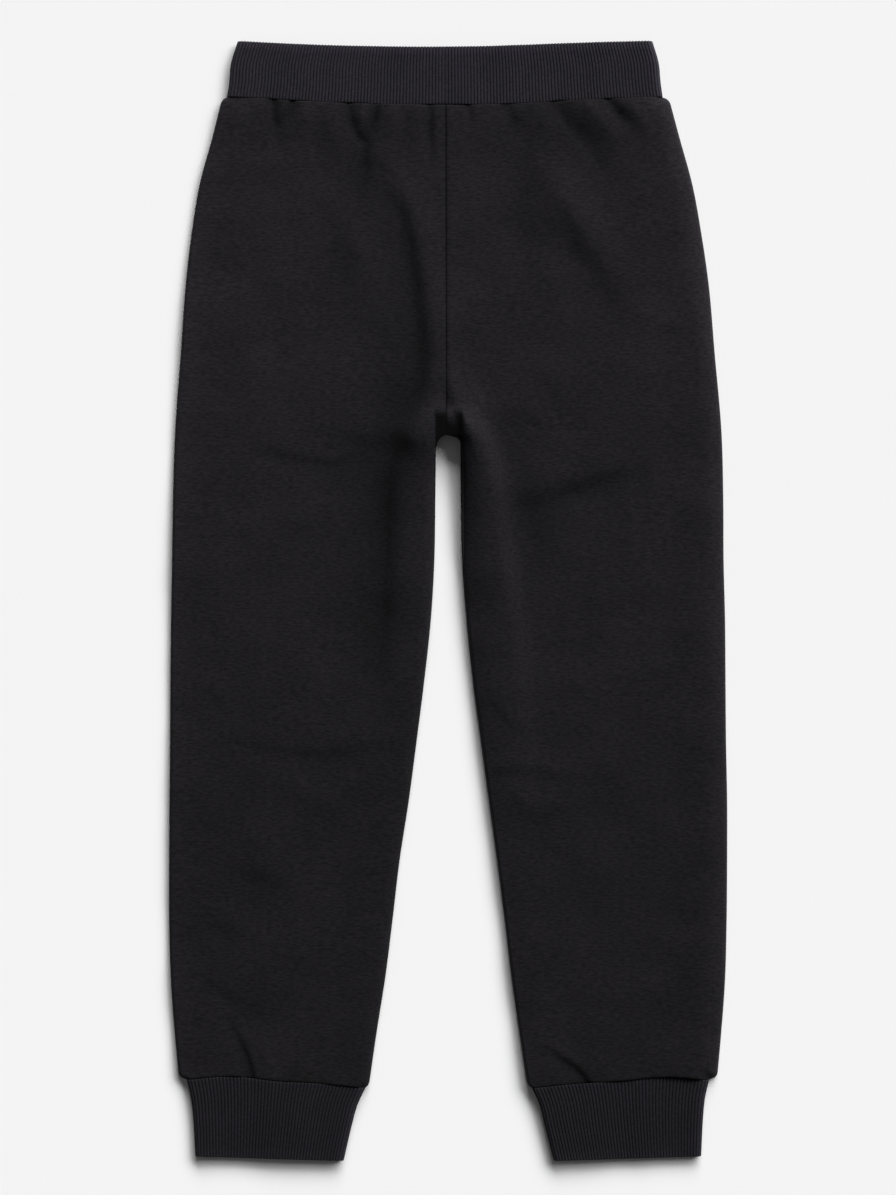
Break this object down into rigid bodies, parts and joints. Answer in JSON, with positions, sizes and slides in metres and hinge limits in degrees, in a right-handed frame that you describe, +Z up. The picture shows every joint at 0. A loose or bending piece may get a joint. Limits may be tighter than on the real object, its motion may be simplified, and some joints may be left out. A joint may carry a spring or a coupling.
{
  "type": "jogger sweatpants",
  "caption": "Child's jogger sweatpants in black brushed fleece, laid flat with the back upward: rib waistband, gathered waist, tapered legs and rib cuffs.",
  "frame": {"origin": "on the ground below the middle of the garment as it lies flat", "axes": "+Y towards the waistband, +X towards the wearer's right side as the back faces up, +Z up from the ground"},
  "size_m": [0.3492, 0.6996, 0.0079],
  "materials": {
    "fleece": "matt black brushed-back fleece, fine knitted face with a faint marl",
    "rib": "matt black knitted rib, fine vertical ribs"
  },
  "bodies": {
    "root": {"waistband": "rib", "back_left": "fleece", "back_right": "fleece", "front_left": "fleece", "front_right": "fleece", "cuff_left": "rib", "cuff_right": "rib"}
  },
  "joints": []
}
